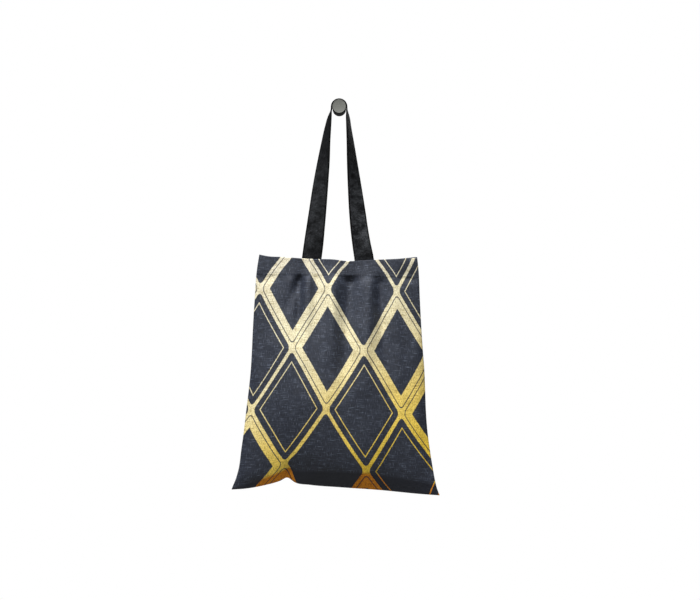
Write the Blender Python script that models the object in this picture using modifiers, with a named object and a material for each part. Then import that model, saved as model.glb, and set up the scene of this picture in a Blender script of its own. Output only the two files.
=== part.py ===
"""Tote bag hung by its two handles over a round wall peg.

Metres, +Z up. The origin is the centre of the peg's back face, where the peg meets the wall.
+Y points into the wall, so the printed front of the bag faces -Y. Sizes are in millimetres, and a
drop is a distance down from the peg's centre line.
"""

from collections import namedtuple
from math import acos, atan2, cos, exp, hypot, pi, radians, sin

import bmesh
import bpy
import numpy as np

MM = 0.001
CLEARANCE = 0.35

# Peg: a plain round bar that stands out from the wall
PEG_RADIUS = 12.0
PEG_LENGTH = 47.0
PEG_ROUNDED_EDGE = 1.2
PEG_SIDES = 48

# Cloth: a heavy linen weave, doubled where the mouth is hemmed
CLOTH = 1.5
HEM_CLOTH = 3.0
HEM_SHARE = 0.082  # the hem's part of the panel's height
HEM_FOLDS = 0.4  # the folds' height in the hem, which is doubled and stiff
SEAM_Y = -25.0  # the plane of the side and bottom seams

# Handles: flat woven webbing, both laid over the peg and sewn inside the mouth
WEBBING_WIDTH = 35.0
WEBBING = 1.0
WEBBING_GAP = 0.35
SEWN_GAP = 0.8  # between a handle's sewn end and the hem it lies on
HANDLE_Y = -24.0  # middle of the handles on the peg
LEFT_HANDLE_X = -50.5
RIGHT_HANDLE_X = 44.4
SEWN_LENGTH = 30.0

Side = namedtuple("Side", "drop left right")
SIDE_SEAMS = [
    Side(260, -145.0, 139.0),
    Side(289, -149.1, 142.1),
    Side(344, -152.3, 144.3),
    Side(398, -155.9, 147.1),
    Side(433, -157.4, 149.5),
    Side(469, -160.0, 152.2),
    Side(505, -163.4, 153.6),
    Side(541, -167.4, 155.0),
    Side(577, -171.5, 157.6),
    Side(612, -176.8, 162.0),
    Side(648, -182.0, 167.7),
    Side(666, -187.4, 171.3),
    Side(683, -193.7, 175.9),
    Side(693, -196.0, 179.9),
]

Edge = namedtuple("Edge", "x front back")
TOP_EDGES = [
    Edge(-145, 261.5, 263.0),
    Edge(-128, 263.3, 264.0),
    Edge(-99, 266.7, 267.0),
    Edge(-50, 269.4, 269.0),
    Edge(-13, 270.1, 269.5),
    Edge(16, 273.5, 271.0),
    Edge(44, 271.0, 269.5),
    Edge(80, 270.4, 268.5),
    Edge(109, 270.0, 267.0),
    Edge(139, 269.5, 265.4),
]

Bottom = namedtuple("Bottom", "x drop")
BOTTOM_SEAM = [
    Bottom(-193.7, 683.2),
    Bottom(-168.6, 681.6),
    Bottom(-132.8, 675.2),
    Bottom(-106.0, 667.6),
    Bottom(-92.8, 661.7),
    Bottom(-79.1, 670.1),
    Bottom(-52.3, 674.8),
    Bottom(1.4, 679.1),
    Bottom(73.0, 684.1),
    Bottom(144.6, 691.1),
    Bottom(179.9, 693.4),
]
NOTCH_X = -92.8  # where the bottom seam is drawn up
LEFT_CORNER = 261.5  # the mouth's corners, as drops
RIGHT_CORNER = 266.0

# How far the middle of each panel stands out from the seams, by share of the way down
Swell = namedtuple("Swell", "down front back")
SWELLS = [
    Swell(0.00, 7.0, 6.0),
    Swell(0.08, 9.0, 6.5),
    Swell(0.12, 11.4, 7.3),
    Swell(0.20, 15.4, 8.6),
    Swell(0.35, 22.6, 10.8),
    Swell(0.48, 28.4, 12.6),
    Swell(0.56, 30.9, 13.6),
    Swell(0.62, 31.5, 14.4),
    Swell(0.68, 30.8, 15.0),
    Swell(0.74, 29.1, 15.2),
    Swell(0.79, 26.9, 15.0),
    Swell(0.83, 24.3, 14.4),
    Swell(0.865, 21.2, 13.4),
    Swell(0.89, 18.4, 12.2),
    Swell(0.91, 15.6, 11.0),
    Swell(0.93, 12.3, 9.2),
    Swell(0.95, 8.9, 7.0),
    Swell(0.97, 5.4, 4.4),
    Swell(0.985, 2.7, 2.2),
    Swell(1.00, 0.0, 0.0),
]
CROWN_POWER = 0.8

# Soft ridges (rise above 0) and troughs (below 0), each along a line from its strong end to the
# end where it dies out
Fold = namedtuple("Fold", "x1 drop1 x2 drop2 width rise")
FRONT_FOLDS = [
    Fold(-150, 259, 150, 261, 16, 4.0),
    Fold(156, 276, 84, 274, 12, 5.0),
    Fold(162, 302, 78, 300, 9, -5.0),
    Fold(-70, 236, -80, 470, 9, -5.2),
    Fold(-53, 250, -60, 470, 8, 2.8),
    Fold(-40, 240, -41, 400, 8, -3.0),
    Fold(-13, 262, -18, 500, 9, 5.0),
    Fold(-20, 301, 52, 312, 8, -3.8),
    Fold(13, 262, 2, 560, 13, -7.0),
    Fold(54, 276, 44, 560, 13, 7.0),
    Fold(71, 280, 78, 440, 10, -5.0),
    Fold(74, 356, 102, 560, 13, -4.4),
    Fold(98, 320, 112, 520, 10, 1.8),
    Fold(-92, 262, -82, 380, 8, 2.2),
    Fold(-160, 302, -90, 302, 12, -3.0),
    Fold(-86, 380, -68, 660, 36, 4.8),
    Fold(22, 420, 10, 680, 32, -4.0),
    Fold(92, 480, 92, 680, 18, -2.2),
    Fold(140, 380, 156, 700, 20, 3.2),
    Fold(164, 670, 150, 520, 9, -2.6),
    Fold(-166, 686, -152, 500, 30, 5.0),
    Fold(-94, 700, -92, 640, 8, -2.2),
    Fold(-150, 420, -136, 640, 16, 1.4),
]
BACK_FOLDS = [
    Fold(-60, 230, -66, 470, 16, -3.0),
    Fold(2, 230, 8, 450, 18, 3.2),
    Fold(58, 230, 66, 500, 16, -3.0),
    Fold(-94, 700, -92, 640, 9, -2.0),
    Fold(-166, 686, -152, 500, 26, 2.0),
    Fold(196, 706, 80, 600, 16, -2.0),
]

# Rows of the cloth's mesh, by share of the way down, closer at the hem line and the bottom turn
FRONT_ROWS = [0, 0.027, 0.054, 0.079, 0.085, 0.1, 0.12, 0.145, 0.18, 0.22, 0.27, 0.325, 0.385]
FRONT_ROWS += [0.45, 0.515, 0.58, 0.64, 0.7, 0.755, 0.8, 0.84, 0.87, 0.895, 0.917, 0.937, 0.955]
FRONT_ROWS += [0.972, 0.987, 1]
FRONT_COLUMNS = 56
BACK_ROWS = [0, 0.04, 0.079, 0.085, 0.12, 0.18, 0.26, 0.35, 0.45, 0.55, 0.64, 0.72, 0.79, 0.85]
BACK_ROWS += [0.89, 0.92, 0.945, 0.97, 0.987, 1]
BACK_COLUMNS = 32

# How far each handle leg has turned from edge on to flat, going down from the peg
Turn = namedtuple("Turn", "drop degrees")
HANDLE_TURN = [
    Turn(4, 0),
    Turn(8, 1),
    Turn(16, 7),
    Turn(32, 16),
    Turn(60, 25),
    Turn(96, 37),
    Turn(132, 47),
    Turn(168, 55),
    Turn(204, 64),
    Turn(240, 77),
    Turn(264, 90),
    Turn(320, 90),
]
LEG_STATIONS = 36
ARC_STATIONS = 16
WEBBING_COLUMNS = 7
SETTLING_LENGTH = 55.0  # the leg's last stretch, where it comes to lie along the hem


def read_table(rows, across, column, place):
    """One column of a table at any place, on a smooth curve through its rows."""
    places = np.array([getattr(row, across) for row in rows], float)
    values = np.array([getattr(row, column) for row in rows], float)
    slopes = np.gradient(values, places)
    i = int(np.clip(np.searchsorted(places, place) - 1, 0, len(places) - 2))
    step = places[i + 1] - places[i]
    t = min(max((place - places[i]) / step, 0.0), 1.0)
    start = (1 + 2 * t) * (1 - t) ** 2 * values[i] + t * (1 - t) ** 2 * step * slopes[i]
    end = (3 - 2 * t) * t**2 * values[i + 1] - (1 - t) * t**2 * step * slopes[i + 1]
    return float(start + end)


def mix(a, b, share):
    return a + (b - a) * share


def ease(share):
    """0 to 1 with a soft start and end."""
    share = min(max(share, 0.0), 1.0)
    return share * share * (3 - 2 * share)


def fold_height(x, drop, fold):
    """What a fold adds to the cloth's height at a place."""
    along_x = fold.x2 - fold.x1
    along_drop = fold.drop2 - fold.drop1
    share = (x - fold.x1) * along_x + (drop - fold.drop1) * along_drop
    share = min(max(share / (along_x**2 + along_drop**2), 0.0), 1.0)
    away = hypot(x - mix(fold.x1, fold.x2, share), drop - mix(fold.drop1, fold.drop2, share))
    fade = ease(share / 0.2) * ease((1 - share) / 0.6)
    return fold.rise * fade * exp(-((away / fold.width) ** 2))


def wall(down):
    """The cloth's thickness, doubled in the hem."""
    return HEM_CLOTH if down < HEM_SHARE else CLOTH


def cloth_place(across, down, panel):
    """x and drop of a place on a panel, from its shares of the way across and down."""
    top_x = mix(SIDE_SEAMS[0].left, SIDE_SEAMS[0].right, across)
    straight = mix(LEFT_CORNER, RIGHT_CORNER, across)
    dip = read_table(TOP_EDGES, "x", panel, top_x) - straight
    top = straight + dip * (1 - ease(down / HEM_SHARE))
    bottom_x = mix(BOTTOM_SEAM[0].x, BOTTOM_SEAM[-1].x, across)
    unnotched = [row for row in BOTTOM_SEAM if abs(row.x - NOTCH_X) > 20]
    bottom = read_table(unnotched, "x", "drop", bottom_x)
    notch = read_table(BOTTOM_SEAM, "x", "drop", bottom_x) - bottom
    left_drop = mix(getattr(TOP_EDGES[0], panel), BOTTOM_SEAM[0].drop, down)
    right_drop = mix(getattr(TOP_EDGES[-1], panel), BOTTOM_SEAM[-1].drop, down)
    left = read_table(SIDE_SEAMS, "drop", "left", left_drop)
    right = read_table(SIDE_SEAMS, "drop", "right", right_drop)
    return mix(left, right, across), mix(top, bottom, down) + notch * ease((down - 0.82) / 0.18)


def stand_out(across, down, panel):
    """How far the inner face of a panel stands from the plane of the seams."""
    x, drop = cloth_place(across, down, panel)
    crown = max(0.0, 1 - (2 * across - 1) ** 2) ** CROWN_POWER
    folds = FRONT_FOLDS if panel == "front" else BACK_FOLDS
    relief = sum(fold_height(x, drop, fold) for fold in folds)
    hold = min(1.0, crown / 0.2) * min(1.0, (1 - down) / 0.04)
    hold *= mix(HEM_FOLDS, 1.0, ease((down - 0.075) / 0.04))
    swell = read_table(SWELLS, "down", panel, down) * crown + relief * hold
    return max(swell, 0.0) + CLEARANCE / 2


def outward(panel):
    """Which way a panel's outer face looks along Y."""
    return -1 if panel == "front" else 1


def panel_point(across, down, panel):
    """A point of the panel's outer face."""
    x, drop = cloth_place(across, down, panel)
    y = SEAM_Y + outward(panel) * (stand_out(across, down, panel) + wall(down))
    return x * MM, y * MM, -drop * MM


def beside_hem(x, drop, panel):
    """y of the middle of a webbing that lies on the inner face of a panel's hem."""
    left = read_table(SIDE_SEAMS, "drop", "left", drop)
    right = read_table(SIDE_SEAMS, "drop", "right", drop)
    across = (x - left) / (right - left)
    top = cloth_place(across, 0, panel)[1]
    bottom = cloth_place(across, 1, panel)[1]
    down = min(max((drop - top) / (bottom - top), 0.0), HEM_SHARE)
    inside = stand_out(across, down, panel) - SEWN_GAP - WEBBING / 2
    return SEAM_Y + outward(panel) * inside


def leg_line(radius, hem_x):
    """Where a handle leg leaves the peg, as an angle round it, and where its sewn end lies."""
    hem_drop = read_table(TOP_EDGES, "x", "back", hem_x)
    side = 1 if hem_x > 0 else -1
    leaves = atan2(-hem_drop, hem_x) % (2 * pi) + side * acos(radius / hypot(hem_x, hem_drop))
    start_x = radius * cos(leaves)
    start_drop = -radius * sin(leaves)
    past = 1 + SEWN_LENGTH / (hem_drop - start_drop)
    return leaves, (start_x, start_drop), (mix(start_x, hem_x, past), hem_drop + SEWN_LENGTH)


def handle_station(station, radius):
    """x, drop, turn in degrees and side of the handle's middle line, station by station."""
    left_angle, left_start, left_end = leg_line(radius, LEFT_HANDLE_X)
    right_angle, right_start, right_end = leg_line(radius, RIGHT_HANDLE_X)
    if station <= LEG_STATIONS:
        share = 1 - station / LEG_STATIONS
        x = mix(left_start[0], left_end[0], share)
        drop = mix(left_start[1], left_end[1], share)
        return x, drop, read_table(HANDLE_TURN, "drop", "degrees", drop), -1
    if station <= LEG_STATIONS + ARC_STATIONS:
        share = (station - LEG_STATIONS) / ARC_STATIONS
        angle = mix(left_angle, right_angle - 2 * pi, share)
        return radius * cos(angle), -radius * sin(angle), 0.0, 0
    share = (station - LEG_STATIONS - ARC_STATIONS) / LEG_STATIONS
    x = mix(right_start[0], right_end[0], share)
    drop = mix(right_start[1], right_end[1], share)
    return x, drop, read_table(HANDLE_TURN, "drop", "degrees", drop), 1


def handle_point(station, across, panel, radius):
    """A point of a handle's middle surface; across runs from its wall edge to its room edge."""
    x, drop, turn, side = handle_station(station, radius)
    reach = (across - 0.5) * WEBBING_WIDTH
    x -= side * reach * sin(radians(turn))
    free_y = HANDLE_Y - reach * cos(radians(turn))
    if side == 0:
        return x * MM, free_y * MM, -drop * MM
    hem_x = LEFT_HANDLE_X if side < 0 else RIGHT_HANDLE_X
    hem_drop = read_table(TOP_EDGES, "x", "back", hem_x)
    hem_y = beside_hem(hem_x, hem_drop, panel)
    leg_y = free_y + (hem_y - HANDLE_Y) * min(max(drop / hem_drop, 0.0), 1.0)
    settled = ease((drop - hem_drop + SETTLING_LENGTH) / SETTLING_LENGTH)
    y = mix(leg_y, beside_hem(x, drop, panel), settled)
    return x * MM, y * MM, -drop * MM


def new_material(name, colour, roughness, metallic=0.0):
    material = bpy.data.materials.new(name)
    material.use_nodes = True
    shader = material.node_tree.nodes["Principled BSDF"]
    shader.inputs["Base Color"].default_value = (*colour, 1.0)
    shader.inputs["Roughness"].default_value = roughness
    shader.inputs["Metallic"].default_value = metallic
    material.diffuse_color = (*colour, 1.0)
    return material


def new_object(name, bm, collection, material):
    mesh = bpy.data.meshes.new(name)
    bm.to_mesh(mesh)
    bm.free()
    mesh.shade_smooth()
    mesh.materials.append(material)
    obj = bpy.data.objects.new(name, mesh)
    collection.objects.link(obj)
    return obj


def grid_surface(columns, rows, place):
    """A grid of cloth whose vertices are put in place by a function of column and row numbers."""
    bm = bmesh.new()
    bmesh.ops.create_grid(bm, x_segments=columns, y_segments=rows, size=1)
    for vertex in bm.verts:
        column = round((vertex.co.x + 1) / 2 * columns)
        row = round((1 - vertex.co.y) / 2 * rows)
        vertex.co = place(column, row)
    return bm


def add_thickness(obj, thickness, offset):
    modifier = obj.modifiers.new("Cloth thickness", "SOLIDIFY")
    modifier.thickness = thickness * MM
    modifier.offset = offset
    modifier.use_rim = True
    return modifier


def make_panel(panel, columns, shares_down, collection, material):
    """One panel: its outer face as a grid, with the cloth's thickness laid inside it."""

    def place(column, row):
        across = column / columns
        return panel_point(across if panel == "front" else 1 - across, shares_down[row], panel)

    bm = grid_surface(columns, len(shares_down) - 1, place)
    obj = new_object(f"{panel}_panel", bm, collection, material)
    hem = obj.vertex_groups.new(name="cloth thickness")
    for vertex in obj.data.vertices:
        row = vertex.index // (columns + 1)
        down = shares_down[len(shares_down) - 1 - row]
        hem.add([vertex.index], wall(down) / HEM_CLOTH, "REPLACE")
    modifier = add_thickness(obj, HEM_CLOTH, -1)
    modifier.vertex_group = hem.name
    return obj


def make_handle(panel, radius, collection, material):
    """One handle: a ribbon from its sewn end up, over the peg and down again."""
    stations = 2 * LEG_STATIONS + ARC_STATIONS

    def place(column, row):
        return handle_point(row, column / WEBBING_COLUMNS, panel, radius)

    bm = grid_surface(WEBBING_COLUMNS, stations, place)
    obj = new_object(f"{panel}_handle", bm, collection, material)
    add_thickness(obj, WEBBING, 0)
    return obj


def make_peg(collection, material):
    """The peg: its profile turned round its own axis, then laid along Y."""
    corner = PEG_LENGTH - PEG_ROUNDED_EDGE
    profile = [(0.0, PEG_LENGTH)]
    for quarter in range(5):
        angle = pi / 2 * (1 - quarter / 4)
        radius = PEG_RADIUS - PEG_ROUNDED_EDGE + PEG_ROUNDED_EDGE * cos(angle)
        profile.append((radius, corner + PEG_ROUNDED_EDGE * sin(angle)))
    profile += [(PEG_RADIUS, 0.0), (0.0, 0.0)]
    bm = bmesh.new()
    points = [bm.verts.new((radius * MM, 0.0, height * MM)) for radius, height in profile]
    for first, second in zip(points, points[1:]):
        bm.edges.new((first, second))
    obj = new_object("peg", bm, collection, material)
    turn = obj.modifiers.new("Turned round", "SCREW")
    turn.axis = "Z"
    turn.steps = PEG_SIDES
    turn.render_steps = PEG_SIDES
    turn.use_merge_vertices = True
    turn.merge_threshold = 0.00005
    obj.rotation_euler = (pi / 2, 0.0, 0.0)
    return obj


def main():
    for obj in list(bpy.data.objects):
        bpy.data.objects.remove(obj, do_unlink=True)
    collection = bpy.data.collections.new("tote_bag_on_wall_peg")
    bpy.context.scene.collection.children.link(collection)

    linen = new_material("Gold linen", (0.58, 0.44, 0.10), 0.85)
    linen_back = new_material("Gold linen, back", (0.52, 0.39, 0.09), 0.85)
    webbing = new_material("Black webbing", (0.018, 0.019, 0.021), 0.8)
    webbing_back = new_material("Black webbing, back", (0.016, 0.017, 0.019), 0.8)
    coated = new_material("Dark grey coated steel", (0.05, 0.05, 0.048), 0.5)

    make_peg(collection, coated)
    inner_radius = PEG_RADIUS + CLEARANCE + WEBBING / 2
    make_handle("back", inner_radius, collection, webbing_back)
    make_handle("front", inner_radius + WEBBING + WEBBING_GAP, collection, webbing)
    make_panel("front", FRONT_COLUMNS, FRONT_ROWS, collection, linen)
    make_panel("back", BACK_COLUMNS, BACK_ROWS, collection, linen_back)


main()
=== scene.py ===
# %% [markdown]
# # A tote bag on a wall peg
#
# The bag is two panels of linen-weave cloth, sewn together at the sides and the bottom, and two
# black webbing handles that hang over a round peg. Its solids are already placed, in metres, with
# the origin where the peg meets the wall, +Y into the wall and +Z up. This script dresses them:
# each solid gets a finer piece of cloth, webbing or metal in the same place, with its material.

from collections import namedtuple
from math import acos, atan2, cos, hypot, pi, radians, sin

import bmesh
import bpy
import numpy as np
from mathutils import Matrix, Vector, noise


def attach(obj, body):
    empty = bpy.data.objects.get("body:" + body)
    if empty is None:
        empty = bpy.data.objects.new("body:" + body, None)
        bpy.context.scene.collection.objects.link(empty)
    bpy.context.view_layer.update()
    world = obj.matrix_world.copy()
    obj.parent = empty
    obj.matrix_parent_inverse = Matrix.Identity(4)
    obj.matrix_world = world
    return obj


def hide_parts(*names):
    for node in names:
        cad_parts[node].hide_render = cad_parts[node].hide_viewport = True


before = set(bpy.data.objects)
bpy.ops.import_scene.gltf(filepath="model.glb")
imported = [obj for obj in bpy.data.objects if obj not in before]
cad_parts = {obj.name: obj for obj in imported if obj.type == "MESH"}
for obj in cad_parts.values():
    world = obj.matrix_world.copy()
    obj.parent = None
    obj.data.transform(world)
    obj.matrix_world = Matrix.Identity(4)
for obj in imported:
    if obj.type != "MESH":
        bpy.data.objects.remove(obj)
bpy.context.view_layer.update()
MM = 0.001
print("solids:", ", ".join(sorted(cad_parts)))

# %% [markdown]
# ## Colours, shader nodes and pieces
#
# Colours are written as the sRGB values that one would pick from a picture. Cycles works with
# linear light, so one function turns them. The sky and every material are built of shader nodes:
# one function adds a node with its settings and links, and one starts a material. Sockets go by
# their number from the top, from 0 on: 1 to 4 on a Map Range node are the two limits that it maps
# from and the two that it maps to, and 0, 6 and 7 on a Mix node are the share and the two colours.
# Every shape is made in a bmesh, and one function turns that into an object.

# %% Helpers
def linear(colour):
    """An sRGB hex colour as linear red, green, blue and alpha."""
    values = [int(colour[i : i + 2], 16) / 255 for i in (1, 3, 5)]
    values = [v / 12.92 if v <= 0.04045 else ((v + 0.055) / 1.055) ** 2.4 for v in values]
    return (*values, 1.0)


def set_stops(elements, stops):
    """Gives a colour ramp's elements their places and colours."""
    while len(elements) < len(stops):
        elements.new(0.5)
    for element, (place, colour) in zip(elements, stops):
        element.position = place
        element.color = linear(colour)


def feed(tree, node, links):
    """Links a node's sockets, each to a socket or to the first output in use of another node."""
    for socket, source in links.items():
        if isinstance(source, bpy.types.Node):
            source = next(output for output in source.outputs if output.enabled)
        tree.links.new(source, node.inputs[socket])


def add(tree, kind, settings=None, links=None):
    """Adds a shader node. Settings are its properties, values of its sockets or the stops of a
    colour ramp, and links say what feeds its sockets."""
    made = tree.nodes.new("ShaderNode" + kind)
    for name, value in (settings or {}).items():
        if name == "stops":
            set_stops(made.color_ramp.elements, value)
        elif isinstance(name, str) and hasattr(made, name):
            setattr(made, name, value)
        else:
            made.inputs[name].default_value = value
    feed(tree, made, links or {})
    return made


def start_material(material, roughness, specular, sheen):
    """Clears a material's nodes and adds its shader, with a gloss and sheen for all of it."""
    material.use_nodes = True
    tree = material.node_tree
    tree.nodes.clear()
    settings = {"Roughness": roughness, "Specular IOR Level": specular, "Sheen Weight": sheen}
    shader = add(tree, "BsdfPrincipled", settings)
    add(tree, "OutputMaterial", links={"Surface": shader})
    return tree, shader


def make_piece(name, bm, materials):
    """An object in the scene with a bmesh's shape and with these materials."""
    mesh = bpy.data.meshes.new(name)
    bm.to_mesh(mesh)
    bm.free()
    for material in materials:
        mesh.materials.append(material)
    piece = bpy.data.objects.new(name, mesh)
    bpy.context.scene.collection.objects.link(piece)
    return piece


print(f"the grey #808080 is {linear('#808080')[0]:.2f} in linear light")

# %% [markdown]
# ## Camera
#
# The picture was taken from straight in front, with the camera level with the middle of what
# hangs there, handles and bag together. One dot of the picture covers 1.79 mm at the side seams,
# so the lens follows from the distance: the picture is 700 dots wide on a 36 mm sensor. A longer
# distance would flatten the bag, and a shorter one would show more of the peg's underside than
# the picture does.

# %% Camera
PICTURE_WIDTH = 700
MM_PER_DOT = 1.79
CAMERA_X, CAMERA_Z = 0.0193, -0.344
CAMERA_DISTANCE = 2.5
SEAM_Y = -25.0

camera_data = bpy.data.cameras.new("Camera")
camera_data.sensor_width = 36.0
seam_distance = CAMERA_DISTANCE + SEAM_Y * MM
camera_data.lens = camera_data.sensor_width * seam_distance / (MM_PER_DOT * MM * PICTURE_WIDTH)
camera = bpy.data.objects.new("Camera", camera_data)
camera.location = (CAMERA_X, -CAMERA_DISTANCE, CAMERA_Z)
camera.rotation_euler = (pi / 2, 0.0, 0.0)
bpy.context.scene.collection.objects.link(camera)
bpy.context.scene.camera = camera
print(f"lens {camera_data.lens:.1f} mm")

# %% [markdown]
# ## Light and floor
#
# The light in the picture is soft and comes from high up and a little to the left: the front is
# evenly lit, the right flanks of the folds are darker, and so is the cloth that turns under at the
# bottom. One large key light does that, and a weak fill light in front opens the shadows. A light
# behind the bag is there for the views from the back. The sky is white where the camera sees it,
# but dim as a light, and the floor lies so far below that little light comes back up from it.

# %% Light and floor
bpy.context.scene.view_settings.view_transform = "Standard"


def area_light(name, place, aim, size, power, spread):
    """A square softbox at place that looks at aim; a grid in front narrows its spread."""
    data = bpy.data.lights.new(name, "AREA")
    data.size = size
    data.energy = power
    data.spread = radians(spread)
    light = bpy.data.objects.new(name, data)
    light.location = place
    light.rotation_euler = (Vector(aim) - Vector(place)).to_track_quat("-Z", "Y").to_euler()
    bpy.context.scene.collection.objects.link(light)


area_light("Key light", (-0.45, -1.15, 1.95), (0.0, 0.0, -0.66), 0.7, 16.0, 54.0)
area_light("Fill light", (0.2, -2.6, -0.4), (0.0, 0.0, -0.50), 1.6, 1.2, 90.0)
area_light("Back light", (0.5, 2.0, 0.9), (0.0, 0.1, -0.8), 1.4, 16.0, 110.0)

SKY_LIGHT = 0.12
world = bpy.data.worlds.new("Studio")
world.use_nodes = True
tree = world.node_tree
sky = tree.nodes["Background"]
sky.inputs["Color"].default_value = linear("#ffffff")
sight = add(tree, "LightPath").outputs["Is Camera Ray"]
level = add(tree, "MapRange", {"To Min": SKY_LIGHT, "To Max": 1.0}, {"Value": sight})
feed(tree, sky, {"Strength": level})
bpy.context.scene.world = world

FLOOR_Z = -1.7
FLOOR_REACH = 3.0
floor_paint = bpy.data.materials.new("Matte white floor paint")
tree, shader = start_material(floor_paint, 0.8, 0.4, 0.0)
shader.inputs["Base Color"].default_value = linear("#d6d5d2")
bm = bmesh.new()
bmesh.ops.create_grid(bm, x_segments=1, y_segments=1, size=FLOOR_REACH)
bmesh.ops.translate(bm, verts=bm.verts, vec=(0.0, 0.0, FLOOR_Z))
make_piece("Floor", bm, [floor_paint])
print(f"floor {abs(FLOOR_Z):.1f} m below the peg")

# %% [markdown]
# ## The shape of the cloth
#
# A hanging bag is hard to guess with a simulation and easy to measure, so its shape is written in
# short tables: where the side seams run, how the mouth dips, where the bottom seam lies and how
# far each panel stands out from the seams. Sizes are in millimetres, and a drop is a distance
# down from the peg's middle. A smooth curve through each table gives the places in between.

# %% Tables of the cloth's shape
Side = namedtuple("Side", "drop left right")
SIDE_SEAMS = [
    Side(260, -142.2, 138.2),
    Side(289, -146.8, 141.4),
    Side(344, -151.0, 143.9),
    Side(398, -154.2, 146.8),
    Side(433, -155.8, 149.1),
    Side(469, -157.9, 151.9),
    Side(505, -161.5, 153.4),
    Side(541, -165.9, 154.7),
    Side(577, -170.0, 157.3),
    Side(612, -174.9, 161.8),
    Side(648, -180.0, 167.6),
    Side(666, -185.4, 170.9),
    Side(683, -192.2, 175.2),
    Side(693, -194.5, 179.2),
]

Edge = namedtuple("Edge", "x front back")
TOP_EDGES = [
    Edge(-142.2, 263.0, 263.4),
    Edge(-128, 265.9, 266.2),
    Edge(-99, 267.6, 267.9),
    Edge(-50, 271.2, 271.4),
    Edge(-13, 271.8, 272.0),
    Edge(16, 275.0, 275.2),
    Edge(44, 273.5, 273.7),
    Edge(80, 271.9, 272.0),
    Edge(109, 270.6, 270.0),
    Edge(138.2, 269.5, 267.3),
]

Bottom = namedtuple("Bottom", "x drop")
BOTTOM_SEAM = [
    Bottom(-192.2, 683.2),
    Bottom(-168.6, 681.6),
    Bottom(-132.8, 675.2),
    Bottom(-106.0, 667.6),
    Bottom(-92.8, 661.7),
    Bottom(-79.1, 670.4),
    Bottom(-52.3, 674.8),
    Bottom(1.4, 679.1),
    Bottom(73.0, 684.1),
    Bottom(144.6, 691.1),
    Bottom(179.2, 693.6),
]

NOTCH_X, NOTCH_REACH = -92.8, 20.0
NOTCH_START = 0.82  # the share of the way down where the notch starts to draw the cloth up
LEFT_CORNER, RIGHT_CORNER = 263.0, 268.0
HEM_SHARE = 0.082  # the hem's share of the way down

Swell = namedtuple("Swell", "down front back")
SWELLS = [
    Swell(0.00, 7.0, 6.0),
    Swell(0.08, 9.0, 6.5),
    Swell(0.12, 11.4, 7.3),
    Swell(0.20, 15.4, 8.6),
    Swell(0.35, 22.6, 10.8),
    Swell(0.48, 28.4, 12.6),
    Swell(0.56, 30.9, 13.6),
    Swell(0.62, 31.5, 14.4),
    Swell(0.68, 30.8, 15.0),
    Swell(0.74, 29.1, 15.2),
    Swell(0.79, 26.9, 15.0),
    Swell(0.83, 24.3, 14.4),
    Swell(0.865, 21.2, 13.4),
    Swell(0.89, 18.4, 12.2),
    Swell(0.91, 15.6, 11.0),
    Swell(0.93, 12.3, 9.2),
    Swell(0.95, 8.9, 7.0),
    Swell(0.97, 5.4, 4.4),
    Swell(0.985, 2.7, 2.2),
    Swell(1.00, 0.0, 0.0),
]
BULGE_POWER = 0.8  # below 1, so that a panel rises steeply at its sides and is flat between
SEAM_ROOM = 0.15  # how far the inside of a panel stands out even at its seams


def read_table(rows, across, column, places):
    """One column of a table at many places, on a smooth curve through its rows."""
    xs = np.array([getattr(row, across) for row in rows], float)
    ys = np.array([getattr(row, column) for row in rows], float)
    slopes = np.gradient(ys, xs)
    places = np.asarray(places, float)
    i = np.clip(np.searchsorted(xs, places) - 1, 0, len(xs) - 2)
    step = xs[i + 1] - xs[i]
    t = np.clip((places - xs[i]) / step, 0, 1)
    start = (1 + 2 * t) * (1 - t) ** 2 * ys[i] + t * (1 - t) ** 2 * step * slopes[i]
    end = (3 - 2 * t) * t**2 * ys[i + 1] - (1 - t) * t**2 * step * slopes[i + 1]
    return start + end


def mix(a, b, share):
    """The value that lies this share of the way from a to b."""
    return a + (b - a) * share


def ease(share):
    """0 to 1 with a soft start and end."""
    share = np.clip(share, 0, 1)
    return share * share * (3 - 2 * share)


def bell(distance, width):
    """1 at no distance, falling softly to almost 0 at twice the width."""
    return np.exp(-((distance / width) ** 2))


print(f"the bottom seam drops from {BOTTOM_SEAM[4].drop} to {BOTTOM_SEAM[-1].drop} mm")

# %% [markdown]
# ## Folds
#
# Each fold is a soft ridge or trough along a line. The pull of the handles makes the ones at the
# mouth, the corners make the slanting ones, and the notch in the bottom seam has a crease above
# it. A fold's height fades with the distance from its line, as a bell curve does, so that folds
# can be added up and still run into each other softly. It rises quickly at the line's first end
# and dies away slowly towards the second. The seams hold the folds flat, and the stiff doubled hem
# lets them reach less than half their height. A rise below 0 is a trough.

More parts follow.
